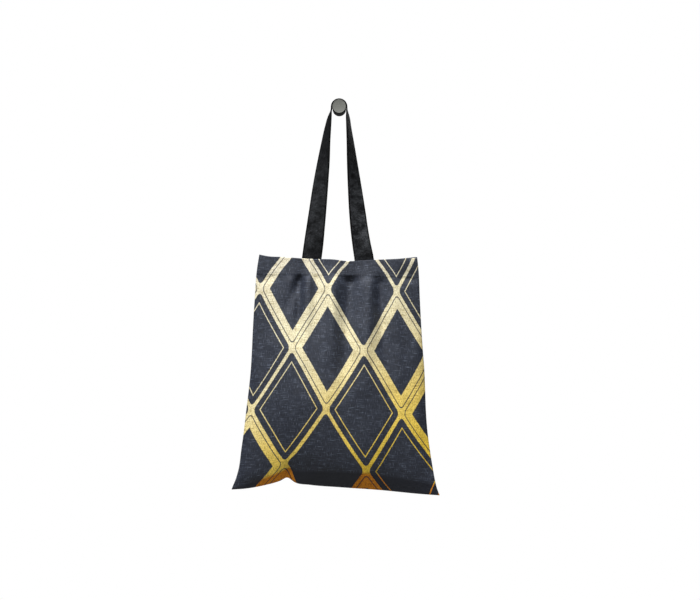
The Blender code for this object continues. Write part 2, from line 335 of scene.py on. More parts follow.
# %% Folds
FOLD_START, FOLD_END = 0.2, 0.6  # the shares of its line over which a fold rises and dies away
HEM_FOLDS = 0.4  # the share of their height that folds have in the hem
HEM_HOLDS_TO, HEM_LETS_GO = 0.075, 0.04  # where that ends, and over which share of the way down
SIDE_HOLD, BOTTOM_HOLD = 0.2, 0.04  # the shares of bulge and height over which seams let folds go
Fold = namedtuple("Fold", "x1 drop1 x2 drop2 width rise")
FRONT_FOLDS = [
    Fold(-150, 259, 150, 261, 16, 4.0),
    Fold(156, 276, 84, 274, 12, 5.0),
    Fold(162, 302, 78, 300, 9, -5.0),
    Fold(-52, 262, -107, 390, 9, -5.6),
    Fold(-70, 286, -76, 470, 7, -6.0),
    Fold(-52, 250, -60, 470, 8, 5.0),
    Fold(-40, 240, -41, 400, 8, -3.0),
    Fold(-9, 262, -16, 500, 11, 8.0),
    Fold(-20, 301, 52, 312, 9, -2.0),
    Fold(22, 262, 5, 560, 13, -10.0),
    Fold(54, 276, 44, 560, 13, 8.4),
    Fold(71, 280, 80, 460, 10, -7.0),
    Fold(74, 356, 102, 560, 13, -4.4),
    Fold(98, 320, 112, 520, 10, 1.8),
    Fold(-92, 262, -82, 380, 8, 2.2),
    Fold(-160, 302, -90, 302, 12, -3.0),
    Fold(-86, 380, -68, 660, 36, 4.8),
    Fold(22, 420, 10, 680, 32, -4.0),
    Fold(92, 480, 92, 680, 18, -2.2),
    Fold(140, 380, 156, 700, 20, 3.2),
    Fold(164, 670, 150, 520, 9, -2.6),
    Fold(-166, 686, -152, 500, 30, 5.0),
    Fold(-94, 700, -92, 640, 8, -2.2),
    Fold(-150, 420, -136, 640, 16, 1.4),
]
BACK_FOLDS = [
    Fold(-60, 230, -66, 470, 16, -3.0),
    Fold(2, 230, 8, 450, 18, 3.2),
    Fold(58, 230, 66, 500, 16, -3.0),
    Fold(-94, 700, -92, 640, 9, -2.0),
    Fold(-166, 686, -152, 500, 26, 2.0),
    Fold(196, 706, 80, 600, 16, -2.0),
]


def relief_of(folds, x, drop):
    """The height that all the folds add at many places."""
    total = np.zeros_like(x)
    for fold in folds:
        along = np.array([fold.x2 - fold.x1, fold.drop2 - fold.drop1], float)
        share = ((x - fold.x1) * along[0] + (drop - fold.drop1) * along[1]) / (along @ along)
        share = np.clip(share, 0, 1)
        away = np.hypot(x - fold.x1 - share * along[0], drop - fold.drop1 - share * along[1])
        fade = ease(share / FOLD_START) * ease((1 - share) / FOLD_END)
        total += fold.rise * fade * bell(away, fold.width)
    return total


def outward(panel):
    """Which way a panel's outer face looks along Y."""
    return -1 if panel == "front" else 1


def cloth_place(across, down, panel):
    """x and drop of places on a panel, from their shares of the way across and down."""
    top_x = mix(SIDE_SEAMS[0].left, SIDE_SEAMS[0].right, across)
    straight = mix(LEFT_CORNER, RIGHT_CORNER, across)
    dip = read_table(TOP_EDGES, "x", panel, top_x) - straight
    top = straight + dip * (1 - ease(down / HEM_SHARE))
    bottom_x = mix(BOTTOM_SEAM[0].x, BOTTOM_SEAM[-1].x, across)
    unnotched = [row for row in BOTTOM_SEAM if abs(row.x - NOTCH_X) > NOTCH_REACH]
    bottom = read_table(unnotched, "x", "drop", bottom_x)
    notch = read_table(BOTTOM_SEAM, "x", "drop", bottom_x) - bottom
    left_drop = mix(getattr(TOP_EDGES[0], panel), BOTTOM_SEAM[0].drop, down)
    right_drop = mix(getattr(TOP_EDGES[-1], panel), BOTTOM_SEAM[-1].drop, down)
    left = read_table(SIDE_SEAMS, "drop", "left", left_drop)
    right = read_table(SIDE_SEAMS, "drop", "right", right_drop)
    drawn_up = notch * ease((down - NOTCH_START) / (1 - NOTCH_START))
    return mix(left, right, across), mix(top, bottom, down) + drawn_up


def stand_out(across, down, panel):
    """How far the inside of a panel stands from the plane of the seams."""
    x, drop = cloth_place(across, down, panel)
    bulge = np.clip(1 - (2 * across - 1) ** 2, 0, None) ** BULGE_POWER
    relief = relief_of(FRONT_FOLDS if panel == "front" else BACK_FOLDS, x, drop)
    free = np.minimum(1.0, bulge / SIDE_HOLD) * np.clip((1 - down) / BOTTOM_HOLD, 0, 1)
    free *= mix(HEM_FOLDS, 1.0, ease((down - HEM_HOLDS_TO) / HEM_LETS_GO))
    swell = read_table(SWELLS, "down", panel, down) * bulge + relief * free
    return np.maximum(swell, 0.0) + SEAM_ROOM


print(len(FRONT_FOLDS), "folds in the front,", len(BACK_FOLDS), "in the back")

# %% [markdown]
# ## Panels
#
# On the real bag the mouth is hemmed: the cloth is turned over the edge and sewn down inside. So
# each panel here is one grid that starts at the raw edge inside the bag, climbs to the mouth,
# rolls over it and runs down the outside to the bottom seam. Its rows are spaced in millimetres
# along the cloth, closer at the fold and at the hem line. A Solidify modifier then gives it its
# thickness, and a second material for the unprinted side.

# %% Rows and columns of the cloth
CLOTH = 0.9  # the cloth's thickness
HEM = 34.0  # the depth of the turned-in hem
HEM_LINE = 31.5  # its row of stitches, below the mouth
PANEL_HEIGHT = 415.0
PANEL_WIDTH = 380.0
HUNG_WIDTH = 340.0  # about the middle of the hung panel's widths, for spacing the columns
EDGE_WIDTH = 6.4  # the columns are closer together up to here
MIDDLE_COLUMNS = 142

hem_rows = [-HEM, -30, -25, -20, -15, -10, -6, -3, -1.4, -0.9, -0.45, 0, 0.45, 0.9, 1.4, 3]
below_rows = [6, 9, 12, 15, 18, 21, 24, 27, 29.5, 31, 32, 33, 34, 35, 36, 37.5, 39.5]
body_rows = list(np.arange(42, 372, 2.6)) + list(np.arange(372, 408, 1.6))
last_rows = [409.0, 411.0, 412.6, 413.8, 414.5, PANEL_HEIGHT]
CLOTH_ROWS = np.array(hem_rows + below_rows + body_rows + last_rows, float)

edge_columns = np.array([0, 0.25, 0.8, 1.6, 2.8, 4.4])
middle_columns = np.linspace(EDGE_WIDTH, HUNG_WIDTH - EDGE_WIDTH, MIDDLE_COLUMNS)
columns = [edge_columns, middle_columns, HUNG_WIDTH - edge_columns[::-1]]
CLOTH_COLUMNS = np.concatenate(columns) / HUNG_WIDTH
print(len(CLOTH_ROWS), "rows and", len(CLOTH_COLUMNS), "columns")

# %% Small relief
SEAM_ROLL = 2.2  # the width over which the cloth rolls in to a seam
SEAM_LAYER = 0.12  # from there to the middle of the cloth, which a seam presses thin
SEAM_REACH = 30.0  # how far from a seam the cloth is free of it
NEAREST = 0.2  # the least distance of the cloth's middle from the plane of the seams
GROOVE_DEPTH, GROOVE_WIDTH = 0.14, 1.1  # where the stitches press into the hem
# How far out the layers lie: the hem's outer and inner one, and the cloth below the hem
HEM_OUTER, HEM_INNER, BELOW_HEM = 2.1, 0.95, 1.5

# A squeeze below 1 draws the bumps out upright
Ripple = namedtuple("Ripple", "height size squeeze seed")
WAVES = [Ripple(1.5, 62.0, 1.0, 0), Ripple(0.55, 23.0, 1.0, 20)]
SEAM_PUCKERS = [Ripple(0.8, 7.5, 1.0, 40)]
LINE_PUCKERS = [Ripple(0.45, 9.0, 1.0, 60)]
UPRIGHT_PUCKERS = [Ripple(0.7, 10.0, 0.22, 80), Ripple(0.35, 5.0, 0.3, 90)]
SEAM_PUCKER_REACH, LINE_PUCKER_REACH = 9.0, 7.0
UPRIGHT_MIDDLE, UPRIGHT_REACH = 26.0, 22.0


def ripples(rows, x, drop, panel):
    """A gentle unevenness, the same on every run: noise with bumps of these sizes."""
    total = np.zeros(np.shape(x))
    for row in rows:
        seed = row.seed + (3.0 if panel == "front" else 9.0)
        places = zip(np.ravel(x) / row.size, np.ravel(row.squeeze * drop) / row.size)
        values = [noise.noise((a, b, seed)) for a, b in places]
        total += row.height * np.reshape(values, np.shape(x))
    return total


def small_relief(x, drop, down, along, from_seam, panel):
    """How far waves, puckers and the stitches' groove move the cloth out or in."""
    # The cloth is never quite even below its hem, and its seams draw it into small puckers
    waves = ripples(WAVES, x, drop, panel) * ease(down / 0.1)
    near_seam = np.exp(-from_seam / SEAM_PUCKER_REACH) * ease(from_seam / 3)
    puckers = ripples(SEAM_PUCKERS, x, drop, panel) * near_seam
    # The stitches press a groove into the hem, with puckers round it and upright ones above
    groove = -GROOVE_DEPTH * bell(along - HEM_LINE, GROOVE_WIDTH)
    round_it = ripples(LINE_PUCKERS, x, drop, panel) * bell(along - HEM_LINE, LINE_PUCKER_REACH)
    above_it = ripples(UPRIGHT_PUCKERS, x, drop, panel) * bell(along - UPRIGHT_MIDDLE, UPRIGHT_REACH)
    free = np.clip(from_seam / SEAM_REACH, 0, 1)
    return (waves + groove + round_it + above_it * (along > 0)) * free + puckers


print(len(WAVES) + len(UPRIGHT_PUCKERS) + 2, "kinds of ripple")

# %% Points of the cloth
def over_the_mouth(along):
    """The cloth's distance from the hem's inside and below the edge, from its place along it."""
    radius = (HEM_OUTER - HEM_INNER) / 2
    quarter = radius * pi / 2
    turn = np.clip(along / radius, -pi / 2, pi / 2)
    past = np.clip(np.abs(along) - quarter, 0, None)
    below_edge = radius * (1 - np.cos(turn)) + past
    layer = (HEM_OUTER + HEM_INNER) / 2 + radius * np.sin(turn)
    layer -= (HEM_OUTER - BELOW_HEM) * ease((along - HEM + 0.5) / 4.0)
    return layer, below_edge


def cloth_points(across, along, panel):
    """Points of a panel's mid surface, in metres, from places across it and along the cloth."""
    layer, below_edge = over_the_mouth(along)
    down = np.clip(below_edge / PANEL_HEIGHT, 0, 1)
    x, drop = cloth_place(across, down, panel)
    left, _ = cloth_place(np.zeros_like(across), down, panel)
    right, _ = cloth_place(np.ones_like(across), down, panel)
    from_side = np.minimum(x - left, right - x)
    from_bottom = np.where(along > HEM, PANEL_HEIGHT - along, 99.0)
    from_seam = np.minimum(from_side, from_bottom)
    roll = np.sqrt(np.clip(1 - (1 - np.clip(from_seam / SEAM_ROLL, 0, 1)) ** 2, 0, 1))
    distance = stand_out(across, down, panel) + SEAM_LAYER + (layer - SEAM_LAYER) * roll
    distance += small_relief(x, drop, down, along, from_seam, panel)
    distance = np.maximum(distance, NEAREST)
    return np.stack([x, SEAM_Y + outward(panel) * distance, -drop], axis=1) * MM


def panel_shape(column, row, panel):
    """Points of a panel's mid surface, and where they lie on the flat cloth, in metres."""
    across, along = CLOTH_COLUMNS[column], CLOTH_ROWS[row]
    flat = np.stack([(across - 0.5) * PANEL_WIDTH, -along], axis=1) * MM
    return cloth_points(1 - across if panel == "back" else across, along, panel), flat


edge = cloth_points(np.array([0.5]), np.array([0.0]), "front")[0]
print(f"the front's mouth lies {(SEAM_Y - edge[1] / MM):.0f} mm in front of the seams")

# %% [markdown]
# A grid operator makes the faces, and the vertices are then moved to their places all at once.
# The flat cloth's own millimetres go into a UV map, so that the print and the weave follow the
# cloth as it bends.

# %% Grid pieces
def grid_piece(name, columns, rows, shape, materials):
    """A grid whose points and flat places come from a function of column and row numbers."""
    bm = bmesh.new()
    bmesh.ops.create_grid(bm, x_segments=columns - 1, y_segments=rows - 1, size=1)
    places = np.array([vertex.co[:2] for vertex in bm.verts])
    column = np.rint((places[:, 0] + 1) / 2 * (columns - 1)).astype(int)
    row = np.rint((1 - places[:, 1]) / 2 * (rows - 1)).astype(int)
    points, flat = shape(column, row)
    for vertex, point in zip(bm.verts, points):
        vertex.co = point
    cloth_map = bm.loops.layers.uv.new("cloth")
    for face in bm.faces:
        face.smooth = True
        for loop in face.loops:
            loop[cloth_map].uv = flat[loop.vert.index]
    return make_piece(name, bm, materials)


def give_thickness(piece, thickness, inner_slot=0):
    """The cloth's thickness, half to each side, with another material slot for its inner side."""
    modifier = piece.modifiers.new("Thickness", "SOLIDIFY")
    modifier.thickness = thickness * MM
    modifier.offset = 0.0
    modifier.material_offset = inner_slot


printed = bpy.data.materials.new("Printed linen-look cloth")
unprinted = bpy.data.materials.new("Unprinted linen-look cloth")
panels = {}
for panel in ("front", "back"):
    panels[panel] = grid_piece(
        f"{panel}_cloth",
        len(CLOTH_COLUMNS),
        len(CLOTH_ROWS),
        lambda column, row, panel=panel: panel_shape(column, row, panel),
        [printed, unprinted],
    )
    give_thickness(panels[panel], CLOTH, 1)
    print(panel, "cloth:", len(panels[panel].data.polygons), "faces")

# %% [markdown]
# ## Handles
#
# Each handle is one length of flat webbing. It lies across the peg on its flat side, edge on to
# the camera, and turns a quarter on its way down to lie flat against the inside of the hem, where
# it is sewn. A ribbon of cross lines does this: every line has a middle, a turn and a width. The
# front handle lies on top of the back one on the peg, and in front of it below.

# %% Handles
PEG_RADIUS = 12.0
CLEARANCE = 0.35  # between the peg and the back webbing
WEBBING_WIDTH = 35.0
WEBBING = 1.0  # the webbing's thickness
BETWEEN_WEBBINGS = 0.35  # where the front one lies on the back one
OFF_THE_HEM = 0.8  # between a webbing and the hem that it is sewn to
HANDLE_COLUMNS = 13
HANDLE_Y = -24.0  # the middle of the webbings on the peg
HANDLE_X = {-1: -50.5, 1: 44.4}  # where the left and the right legs reach the mouth
SEWN_LENGTH = 30.0
SETTLING_LENGTH = 55.0  # over which a leg comes to lie against the hem

Turn = namedtuple("Turn", "drop left right left_shift right_shift")
HANDLE_TURN = [
    Turn(-4, 0, 0, 0, 0),
    Turn(1, 0.3, 0.3, 0, 0),
    Turn(4, 2.5, 2, -0.3, 0),
    Turn(8, 5.5, 4, -0.9, 0.2),
    Turn(15, 10, 8, -1.5, 0.2),
    Turn(32, 17, 12, -2.0, -0.2),
    Turn(60, 25.5, 19.5, -2.1, -0.5),
    Turn(96, 38, 30, -1.5, -1.2),
    Turn(140, 50.5, 42.5, -1.0, -1.7),
    Turn(190, 63, 57, 0.1, -2.1),
    Turn(220, 72, 64, 0.6, -2.0),
    Turn(246, 83, 72, 1.0, -1.0),
    Turn(268, 90, 84, 1.1, 0.4),
    Turn(284, 90, 90, 1.1, 0.4),
    Turn(320, 90, 90, 1.1, 0.4),
]


def beside_hem(x, drop, panel):
    """y of the middle of a webbing that lies on the inner face of a panel's hem."""
    left = read_table(SIDE_SEAMS, "drop", "left", drop)
    right = read_table(SIDE_SEAMS, "drop", "right", drop)
    across = (x - left) / (right - left)
    top = cloth_place(across, np.zeros_like(across), panel)[1]
    bottom = cloth_place(across, np.ones_like(across), panel)[1]
    down = np.clip((drop - top) / (bottom - top), 0.0, HEM_SHARE)
    inside = stand_out(across, down, panel)
    return SEAM_Y + outward(panel) * (inside - OFF_THE_HEM - WEBBING / 2)


def leg_ends(radius, side):
    """Where a handle leg leaves the peg, as an angle round it, and its two ends (x, drop)."""
    hem_x = HANDLE_X[side]
    hem_drop = float(read_table(TOP_EDGES, "x", "back", hem_x))
    leaves = atan2(-hem_drop, hem_x) % (2 * pi) + side * acos(radius / hypot(hem_x, hem_drop))
    start = (radius * cos(leaves), -radius * sin(leaves))
    past = 1 + SEWN_LENGTH / (hem_drop - start[1])
    return leaves, start, (mix(start[0], hem_x, past), hem_drop + SEWN_LENGTH)


def handle_lines(radius):
    """The handle's cross lines from end to end: x, drop, side, and length along the webbing."""
    left_angle, left_start, left_end = leg_ends(radius, -1)
    right_angle, right_start, right_end = leg_ends(radius, 1)
    share = np.linspace(0, 1, 121)
    turn = mix(left_angle, right_angle - 2 * pi, np.linspace(0, 1, 41))[1:-1]
    x = np.concatenate([mix(left_end[0], left_start[0], share), radius * np.cos(turn)])
    x = np.concatenate([x, mix(right_start[0], right_end[0], share)])
    drop = np.concatenate([mix(left_end[1], left_start[1], share), -radius * np.sin(turn)])
    drop = np.concatenate([drop, mix(right_start[1], right_end[1], share)])
    side = np.array([-1] * len(share) + [0] * len(turn) + [1] * len(share))
    length = np.concatenate([[0], np.cumsum(np.hypot(np.diff(x), np.diff(drop)))])
    return x, drop, side, length


def handle_shape(column, row, panel, lines):
    """Points of a handle's middle surface, and where they lie on the flat webbing, in metres."""
    x, drop, side, length = (values[row] for values in lines)
    left, right, left_shift, right_shift = (
        read_table(HANDLE_TURN, "drop", column_name, drop)
        for column_name in ("left", "right", "left_shift", "right_shift")
    )
    degrees = np.where(side == 0, 0.0, np.where(side < 0, left, right))
    x = x + np.where(side == 0, 0.0, np.where(side < 0, left_shift, right_shift))
    reach = (column / (HANDLE_COLUMNS - 1) - 0.5) * WEBBING_WIDTH
    x = x - side * reach * np.sin(np.radians(degrees))
    free_y = HANDLE_Y - reach * np.cos(np.radians(degrees))
    hem_x = np.where(side < 0, HANDLE_X[-1], HANDLE_X[1]).astype(float)
    hem_drop = read_table(TOP_EDGES, "x", "back", hem_x)
    lean = beside_hem(hem_x, hem_drop, panel) - HANDLE_Y
    leg_y = free_y + lean * np.clip(drop / hem_drop, 0, 1)
    settled = ease((drop - hem_drop + SETTLING_LENGTH) / SETTLING_LENGTH)
    y = np.where(side == 0, free_y, mix(leg_y, beside_hem(x, drop, panel), settled))
    points = np.stack([x, y, -drop], axis=1) * MM
    flat = np.stack([reach, length], axis=1) * MM
    return points, flat


webbing = bpy.data.materials.new("Black cotton webbing")
handles = {}
handle_radius = {"back": PEG_RADIUS + CLEARANCE + WEBBING / 2}
handle_radius["front"] = handle_radius["back"] + WEBBING + BETWEEN_WEBBINGS
for panel in ("back", "front"):
    lines = handle_lines(handle_radius[panel])
    handles[panel] = grid_piece(
        f"{panel}_webbing",
        HANDLE_COLUMNS,
        len(lines[0]),
        lambda column, row, panel=panel, lines=lines: handle_shape(column, row, panel, lines),
        [webbing],
    )
    give_thickness(handles[panel], WEBBING)
    rounded = handles[panel].modifiers.new("Rounded edges", "BEVEL")
    rounded.width = 0.3 * MM
    rounded.segments = 2
    rounded.limit_method = "ANGLE"
    rounded.angle_limit = radians(60)
    print(panel, f"handle: {lines[3][-1]:.0f} mm of webbing")

# %% [markdown]
# ## Stitches
#
# A lockstitch seam shows as a row of short bars of thread, each pressed into the cloth at its ends.
# A ball is stretched along the seam for every stitch, and half sunk into the cloth, with few faces,
# because there are hundreds. One row runs along each hem, and catches the handle's ends inside.

# %% Stitches
STITCH = 2.4
STITCH_SPACE = 0.9
THREAD = 0.26  # half the thread's thickness
THREAD_LIFT = 0.04  # how far the middle of a stitch lies above the cloth
FEEL = 0.5  # how far beside a place the surface's slope is felt


def seam_line(panel):
    """Points along the hem line on a panel's outer face, and which way the face looks there."""
    share = np.linspace(0.012, 0.988, 321)
    along = np.full_like(share, HEM_LINE)
    points = cloth_points(share, along, panel)
    beside = cloth_points(share + FEEL / PANEL_WIDTH, along, panel) - points
    below = cloth_points(share, along + FEEL, panel) - points
    normals = np.cross(beside, below)
    normals /= np.linalg.norm(normals, axis=1)[:, None]
    normals *= np.sign(normals[len(normals) // 2, 1]) * outward(panel)
    return points + normals * (CLOTH / 2 + THREAD_LIFT) * MM, normals


def stitch_piece(name, points, normals, material):
    """One piece with all the stitches along a line of points, lying on the surface there."""
    steps = np.linalg.norm(np.diff(points, axis=0), axis=1)
    length = np.concatenate([[0.0], np.cumsum(steps)])
    count = int(length[-1] / ((STITCH + STITCH_SPACE) * MM))
    bm = bmesh.new()
    for middle in (np.arange(count) + 0.5) * length[-1] / count:
        ends = [
            Vector([np.interp(middle + half, length, points[:, axis]) for axis in range(3)])
            for half in (-STITCH / 2 * MM, STITCH / 2 * MM)
        ]
        normal = Vector([np.interp(middle, length, normals[:, axis]) for axis in range(3)])
        along = (ends[1] - ends[0]).normalized()
        side = normal.cross(along).normalized()
        turn = Matrix((along, side, along.cross(side))).transposed().to_4x4()
        place = Matrix.Translation((ends[0] + ends[1]) / 2)
        stretch = Matrix.Diagonal((STITCH / 2 * MM, THREAD * MM, THREAD * MM, 1.0))
        bmesh.ops.create_uvsphere(
            bm, u_segments=8, v_segments=5, radius=1.0, matrix=place @ turn @ stretch
        )
    for face in bm.faces:
        face.smooth = True
    return make_piece(name, bm, [material])


cotton = bpy.data.materials.new("Navy cotton thread")
stitches = {}
for panel in ("front", "back"):
    stitches[panel] = stitch_piece(f"{panel}_hem_stitches", *seam_line(panel), cotton)
    print(stitches[panel].name, len(stitches[panel].data.polygons), "faces")

# %% [markdown]
# ## Peg
#
# The peg is turned metal, so it is made as on a lathe: its outline is spun round its axis.
# Its end has a thin rim and a face that lies 0.3 mm deeper, which catches the light apart from
# the rim.

# %% Peg
# The end's grey is a painted reflection of the light on the black end
PAINT_RADIUS, PAINT_FROM = 11.82, 46.5  # the paint covers the end within and beyond these
Turned = namedtuple("Turned", "radius height")
PEG_OUTLINE = [
    Turned(0.0, 46.7),
    Turned(10.6, 46.7),
    Turned(11.0, 46.78),
    Turned(11.35, 46.96),
    Turned(11.6, 46.98),
    Turned(11.8, 46.85),
    Turned(11.95, 46.6),
    Turned(12.0, 46.2),
    Turned(12.0, 0.6),
    Turned(11.7, 0.0),
    Turned(0.0, 0.0),
]
bm = bmesh.new()
points = [bm.verts.new((row.radius * MM, -row.height * MM, 0.0)) for row in PEG_OUTLINE]
edges = [bm.edges.new(pair) for pair in zip(points, points[1:])]
bmesh.ops.spin(
    bm,
    geom=points + edges,
    cent=(0, 0, 0),
    axis=(0, 1, 0),
    angle=2 * pi,
    steps=128,
    use_merge=True,
)
bmesh.ops.remove_doubles(bm, verts=bm.verts, dist=0.00002)
bmesh.ops.recalc_face_normals(bm, faces=bm.faces)
coated = bpy.data.materials.new("Black powder-coated aluminium")
end_painted_reflection = bpy.data.materials.new("Grey end with painted reflection")
peg = make_piece("wall_peg", bm, [coated, end_painted_reflection])
peg.data.shade_smooth()
peg.data.set_sharp_from_angle(angle=radians(40))
for face in peg.data.polygons:
    from_axis = hypot(face.center.x, face.center.z)
    painted = face.center.y < -PAINT_FROM * MM and from_axis < PAINT_RADIUS * MM
    face.material_index = 1 if painted else 0
print("peg:", len(peg.data.polygons), "faces")

# %% [markdown]
# ## Linen-look weave
#
# The cloth is a plain weave: every thread goes over one and under the next. Its threads are of
# uneven thickness, with short thick places called slubs, which is what makes it look like linen.
# The weave is a product of two sine waves, one across and one along, and the slubs are noise that
# is drawn out along each direction. Real threads are 0.8 mm apart; here they are 1.1 mm apart, so
# that they still show from the distance of the picture.

# %% Weave
THREAD_PITCH = 1.1 * MM
WEFT_SLUB = 20.0 * MM
WARP_SLUB = 10.0 * MM
SLUB_BREADTH = 1.15 * MM
SLUB_HEIGHT = 0.9  # where the weave's own height is 1


def weave(tree, place):
    """The height of a plain weave at a place on the cloth, from 0 to 1."""
    axes = add(tree, "SeparateXYZ", links={0: place})
    waves = []
    for axis in (0, 1):
        settings = {"operation": "MULTIPLY", 1: pi / THREAD_PITCH}
        turns = add(tree, "Math", settings, {0: axes.outputs[axis]})
        waves.append(add(tree, "Math", {"operation": "SINE"}, {0: turns}))
    crossing = add(tree, "Math", {"operation": "MULTIPLY"}, {0: waves[0], 1: waves[1]})
    # One thread lies on top where the two waves have like signs, and the other elsewhere
    threads = []
    for wave, over in zip(waves, (0.5, -0.5)):
        round_side = add(tree, "Math", {"operation": "ABSOLUTE"}, {0: wave})
        half = add(tree, "Math", {"operation": "MULTIPLY", 1: 0.5}, {0: round_side})
        settings = {"operation": "MULTIPLY_ADD", 1: over}
        threads.append(add(tree, "Math", settings, {0: crossing, 2: half}))
    return add(tree, "Math", {"operation": "MAXIMUM"}, {0: threads[0], 1: threads[1]})


def slubs(tree, place):
    """Noise drawn out along the weft and along the warp: the uneven threads of each direction."""
    streaks = []
    for scale in ((1 / WEFT_SLUB, 1 / SLUB_BREADTH, 0.0), (1 / SLUB_BREADTH, 1 / WARP_SLUB, 0.0)):
        stretched = add(tree, "VectorMath", {"operation": "MULTIPLY", 1: scale}, {0: place})
        settings = {"noise_dimensions": "2D", "Scale": 1.0, "Detail": 2.0, "Roughness": 0.55}
        streaks.append(add(tree, "TexNoise", settings, {"Vector": stretched}))
    return streaks


def rough_cloth(tree, shader):
    """Gives the shader the bump of weave and slubs; returns the flat place and the slubs."""
    place = add(tree, "UVMap", {"uv_map": "cloth"})
    streaks = slubs(tree, place)
    uneven = add(tree, "Math", {"operation": "ADD"}, {0: streaks[0], 1: streaks[1]})
    settings = {"operation": "MULTIPLY_ADD", 1: SLUB_HEIGHT}
    height = add(tree, "Math", settings, {0: uneven, 2: weave(tree, place)})
    bump = add(tree, "Bump", {"Strength": 0.8, "Distance": 0.3 * MM}, {"Height": height})
    feed(tree, shader, {"Normal": bump})
    return place, streaks


print(f"{1 / (THREAD_PITCH * 100):.1f} threads in a centimetre")

# %% [markdown]
# ## Print
#
# The print is a plain harlequin pattern: rows of tall diamonds with rounded corners, in navy ink
# on a ground that runs from cream at the upper left to gold at the lower right. Some diamonds have
# a thin line inside their edge, and some are drawn in outline round a smaller one. Every shape
# comes from one number, the distance to the diamond's edge, so a line is a narrow range of that
# distance. The ink has slightly ragged edges, because it follows the threads.

# %% Diamond lattice
DIAMOND_WIDTH = 158 * MM
DIAMOND_HEIGHT = 214 * MM
BETWEEN_DIAMONDS = 6.5 * MM
CORNER = 8.0 * MM
PRINT_SHIFT = (0.021, 0.06, 0.0)
slope = hypot(1 / DIAMOND_WIDTH, 1 / DIAMOND_HEIGHT)
half_breadth = 0.5 / slope


def diamonds(tree, place):
    """Distance to the nearest diamond's edge (below 0 inside it), and which kind it is (0 to 4)."""
    moved = add(tree, "VectorMath", {"operation": "ADD", 1: PRINT_SHIFT}, {0: place})
    sides = []
    for lean in (1, -1):
        across = (1 / DIAMOND_WIDTH, lean / DIAMOND_HEIGHT, 0.0)
        sides.append(add(tree, "VectorMath", {"operation": "DOT_PRODUCT", 1: across}, {0: moved}))
    lattice = add(tree, "CombineXYZ", links={0: sides[0], 1: sides[1]})
    # The place in one diamond, mirrored so that one corner stands for all four
    inside = add(tree, "VectorMath", {"operation": "FRACTION"}, {0: lattice})
    settings = {"operation": "SUBTRACT", 1: (0.5, 0.5, 0.0)}
    from_middle = add(tree, "VectorMath", settings, {0: inside})
    mirrored = add(tree, "VectorMath", {"operation": "ABSOLUTE"}, {0: from_middle})
    # The distance to a rounded corner: an arc past both straight sides, else the nearer side
    straight = half_breadth - BETWEEN_DIAMONDS / 2 - CORNER
    settings = {"operation": "MULTIPLY_ADD", 1: (1 / slope,) * 3, 2: (-straight, -straight, 0.0)}
    beyond = add(tree, "VectorMath", settings, {0: mirrored})
    corner = add(tree, "VectorMath", {"operation": "MAXIMUM", 1: (0, 0, 0)}, {0: beyond})
    round_part = add(tree, "VectorMath", {"operation": "LENGTH"}, {0: corner})
    axes = add(tree, "SeparateXYZ", links={0: beyond})
    links = {0: axes.outputs[0], 1: axes.outputs[1]}
    nearer = add(tree, "Math", {"operation": "MAXIMUM"}, links)
    flat_part = add(tree, "Math", {"operation": "MINIMUM", 1: 0.0}, {0: nearer})
    reach = add(tree, "Math", {"operation": "ADD"}, {0: round_part, 1: flat_part})
    distance = add(tree, "Math", {"operation": "SUBTRACT", 1: CORNER}, {0: reach})
    # The diamond's number in the lattice gives its kind
    cell = add(tree, "VectorMath", {"operation": "FLOOR"}, {0: lattice})
    settings = {"operation": "DOT_PRODUCT", 1: (1.0, 2.0, 0.0)}
    number = add(tree, "VectorMath", settings, {0: cell})
    return distance, add(tree, "Math", {"operation": "FLOORED_MODULO", 1: 5.0}, {0: number})


print(f"diamonds {2 * half_breadth / MM:.0f} mm from side to side")

# %% Where the ink lies
RAGGED = 1.1 * MM
INK_BORDER = 0.35 * MM
# The thin line, the outline and the smaller diamond start or end this far inside the edge
LINE_OUTER, LINE_INNER = 11.0 * MM, 12.8 * MM
RIM, CORE = 1.7 * MM, 15.0 * MM
WITH_LINE, IN_OUTLINE = (1, 3), (2, 4)  # the kinds of diamond; kind 0 is plain


def ink_within(tree, distance, depth):
    """1 where a place lies deeper than depth inside the diamond's edge, with a soft border."""
    settings = {"From Min": -depth - INK_BORDER, "From Max": -depth + INK_BORDER}
    settings |= {"To Min": 1.0, "To Max": 0.0}
    return add(tree, "MapRange", settings, {"Value": distance})


def is_kind(tree, kind, numbers):
    """1 for diamonds of one of two kinds, else 0."""
    same = [
        add(tree, "Math", {"operation": "COMPARE", 1: float(number), 2: 0.4}, {0: kind})
        for number in numbers
    ]
    return add(tree, "Math", {"operation": "ADD"}, {0: same[0], 1: same[1]})


def print_ink(tree, place, uneven):
    """How much navy ink lies at a place, from 0 to 1; uneven threads make its edge ragged."""
    distance, kind = diamonds(tree, place)
    settings = {"operation": "MULTIPLY_ADD", 1: RAGGED}
    distance = add(tree, "Math", settings, {0: uneven, 2: distance})
    distance = add(tree, "Math", {"operation": "SUBTRACT", 1: RAGGED}, {0: distance})
    full, rim, line_outer, line_inner, core = (
        ink_within(tree, distance, depth) for depth in (0.0, RIM, LINE_OUTER, LINE_INNER, CORE)
    )
    line = add(tree, "Math", {"operation": "SUBTRACT"}, {0: line_outer, 1: line_inner})
    lined = is_kind(tree, kind, WITH_LINE)
    line = add(tree, "Math", {"operation": "MULTIPLY"}, {0: line, 1: lined})
    solid = add(tree, "Math", {"operation": "SUBTRACT"}, {0: full, 1: line})
    outline = add(tree, "Math", {"operation": "SUBTRACT"}, {0: full, 1: rim})
    outline = add(tree, "Math", {"operation": "ADD"}, {0: outline, 1: core})
    outlined = is_kind(tree, kind, IN_OUTLINE)
    return add(tree, "Mix", {"data_type": "FLOAT"}, {0: outlined, 2: solid, 3: outline})


line_breadth = (LINE_INNER - LINE_OUTER) / MM
print(f"an outline is {RIM / MM:.1f} mm broad, a line inside {line_breadth:.1f} mm")

